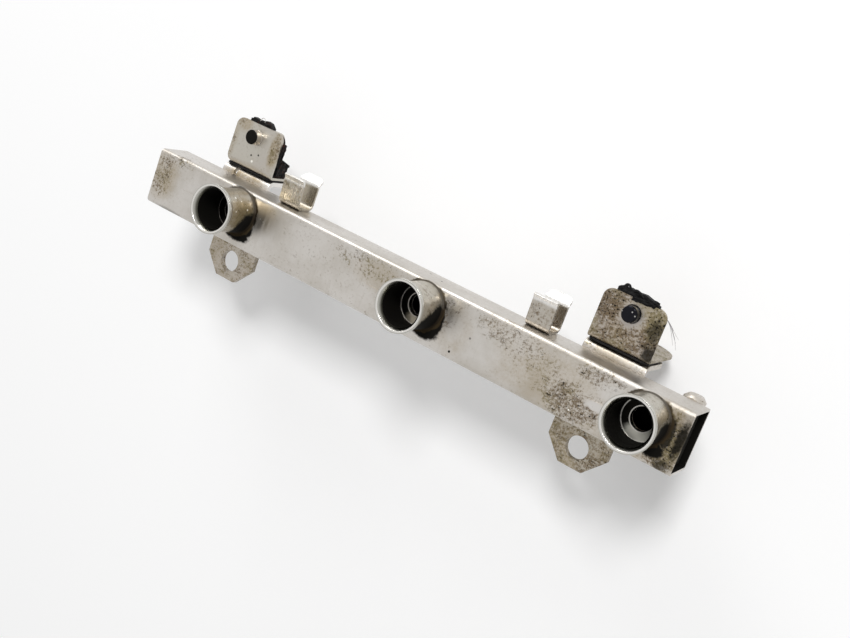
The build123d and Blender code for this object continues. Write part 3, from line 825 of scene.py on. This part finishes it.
def strand(name, points, thickness, finish):
    """A shred or fibre through five points that thins towards its free end."""
    deselect_all()
    bpy.ops.curve.primitive_nurbs_path_add(location=(0, 0, 0))
    piece = bpy.context.object
    piece.name = name
    path = piece.data.splines[0]
    for number, point in enumerate(points):
        path.points[number].co = (*(Vector(point) * MM), 1.0)
        path.points[number].radius = 1.0 - 0.6 * number / (len(points) - 1)
    path.order_u = 3
    path.use_endpoint_u = True
    piece.data.bevel_depth = 0.5 * thickness * MM
    piece.data.bevel_resolution = 1
    piece.data.use_fill_caps = True
    piece.data.resolution_u = 6
    bpy.ops.object.convert(target="MESH")
    bpy.ops.object.shade_smooth()
    finish_piece(piece, finish)


FIBRE = rubber_finish("grey fibre", colour(0.12, 0.11, 0.12), colour(0.32, 0.30, 0.31))
PALE_THREAD = rubber_finish("pale thread", colour(0.45, 0.43, 0.40), colour(0.7, 0.68, 0.64))

crumpled_ridge("torn_crest_right", (77.0, 53.1, -1.7), (13.5, 1.3, 2.2), BLACK_RUBBER,
               3, 0.55, -0.03)
crumpled_ridge("torn_tuft_right", (72.8, 53.7, -1.5), (4.2, 1.1, 1.8), BLACK_RUBBER,
               8, 0.6, 0.25)
crumpled_ridge("torn_smear_right", (79.4, 52.4, 0.1), (8.0, 1.2, 0.8), BLACK_RUBBER,
               5, 0.45, -0.05)
strand("torn_hook_right",
       ((70.1, 52.4, -1.6), (69.8, 52.9, -1.5), (69.6, 53.3, -1.3),
        (69.7, 53.7, -1.2), (70.0, 54.0, -1.1)), 1.2, BLACK_RUBBER)
strand("torn_curl_right",
       ((71.8, 53.6, -1.2), (71.5, 54.6, -1.1), (72.0, 55.4, -0.9),
        (73.0, 55.4, -0.8), (73.5, 54.6, -0.8)), 1.5, BLACK_RUBBER)
strand("torn_shred_right",
       ((74.4, 53.6, -1.2), (75.0, 54.5, -1.0), (76.2, 54.8, -0.7),
        (77.6, 54.3, -0.4), (78.8, 53.5, -0.2)), 1.3, BLACK_RUBBER)
strand("torn_tip_right",
       ((82.0, 53.4, -1.0), (83.0, 53.5, -0.8), (83.9, 53.3, -0.6),
        (84.6, 52.8, -0.4), (85.1, 52.2, -0.2)), 1.0, BLACK_RUBBER)
crumpled_ridge("torn_crest_left", (-84.2, 53.2, -1.9), (9.6, 1.2, 2.2), BLACK_RUBBER,
               11, 0.5, -0.05)
crumpled_ridge("torn_flap_left", (-71.8, 44.6, -2.0), (1.5, 9.0, 2.2), TORN_RUBBER,
               14, 0.6, 0.08)
crumpled_ridge("torn_root_left", (-71.9, 39.2, -5.2), (1.6, 5.0, 5.6), TORN_RUBBER,
               17, 0.6)
strand("torn_loop_left",
       ((-84.6, 53.6, -1.0), (-84.4, 55.0, -0.9), (-82.9, 55.3, -0.8),
        (-82.2, 54.3, -0.9), (-82.6, 53.4, -1.0)), 0.35, PALE_THREAD)
for number, (lean, reach) in enumerate(((0.0, 0.0), (0.5, -1.4), (-0.5, 1.0), (0.9, 2.0))):
    strand("fibre_right_%d" % number,
           ((87.8, 50.4, -1.6), (89.6 + 0.3 * lean, 49.3, -1.3),
            (91.0 + 0.6 * lean, 47.8 - 0.2 * reach, -1.0), (92.4 + lean, 46.2 - 0.5 * reach, -0.8),
            (93.5 + lean, 44.8 - reach, -0.8)), 0.18, FIBRE)


# ---- stage --------------------------------------------------------------------------------------
def make_floor():
    """Pale floor; the camera and reflections also see a little glow, which keeps it near white."""
    deselect_all()
    bpy.ops.mesh.primitive_plane_add(size=FLOOR_SIZE, location=(0, 0, FLOOR_HEIGHT))
    floor = bpy.context.object
    floor.name = "floor"
    material, tree, shader = new_material("pale floor")
    shader.inputs["Base Color"].default_value = colour(FLOOR_TONE, FLOOR_TONE, FLOOR_TONE)
    shader.inputs["Roughness"].default_value = 0.9
    shader.inputs["Specular IOR Level"].default_value = 0.0
    rays = add_node(tree, "LightPath").outputs
    seen = math_node(tree, "MAXIMUM", rays["Is Camera Ray"], rays["Is Glossy Ray"])
    seen = math_node(tree, "MAXIMUM", seen, rays["Is Transmission Ray"])
    plug(tree, math_node(tree, "MULTIPLY", seen, FLOOR_GLOW), shader.inputs["Emission Strength"])
    shader.inputs["Emission Color"].default_value = colour(1, 1, 1)
    floor.data.materials.append(material)


def make_sky():
    world = bpy.data.worlds.new("studio")
    bpy.context.scene.world = world
    world.use_nodes = True
    tree = world.node_tree
    background = tree.nodes["Background"]
    background.inputs["Color"].default_value = colour(1, 1, 1)
    rays = add_node(tree, "LightPath").outputs
    mirrored = math_node(tree, "MAXIMUM", rays["Is Camera Ray"], rays["Is Glossy Ray"])
    mirrored = math_node(tree, "MAXIMUM", mirrored, rays["Is Transmission Ray"])
    plug(tree, band(tree, mirrored, 0.0, 1.0, SKY_TONE, SKY_SHEEN), background.inputs["Strength"])


def make_lamp(name, place, size, power):
    """A square soft lamp that faces the origin."""
    light = bpy.data.lights.new(name, "AREA")
    light.size = size
    light.energy = power
    lamp = bpy.data.objects.new(name, light)
    lamp.location = place
    lamp.rotation_euler = (-Vector(place)).to_track_quat("-Z", "Y").to_euler()
    bpy.context.scene.collection.objects.link(lamp)


def make_camera():
    """Looks from its place at its target, turned about the line of sight."""
    data = bpy.data.cameras.new("camera")
    data.sensor_width = SENSOR_WIDTH
    data.lens = SENSOR_WIDTH * FOCAL_LENGTH / PICTURE_WIDTH
    data.clip_start = 0.01
    camera = bpy.data.objects.new("camera", data)
    sight = (CAMERA_TARGET - CAMERA_PLACE).normalized()
    level_up = (Vector((0, 0, 1)) - sight.z * sight).normalized()
    up = Matrix.Rotation(CAMERA_ROLL, 3, sight) @ level_up
    right = sight.cross(up)
    turn = Matrix((right, up, -sight)).transposed().to_4x4()
    camera.matrix_world = Matrix.Translation(CAMERA_PLACE) @ turn
    bpy.context.scene.collection.objects.link(camera)
    bpy.context.scene.camera = camera


make_floor()
make_sky()
make_lamp("key", **KEY_LAMP)
make_lamp("back strip", **BACK_STRIP)
make_camera()
bpy.context.scene.view_settings.view_transform = "Standard"
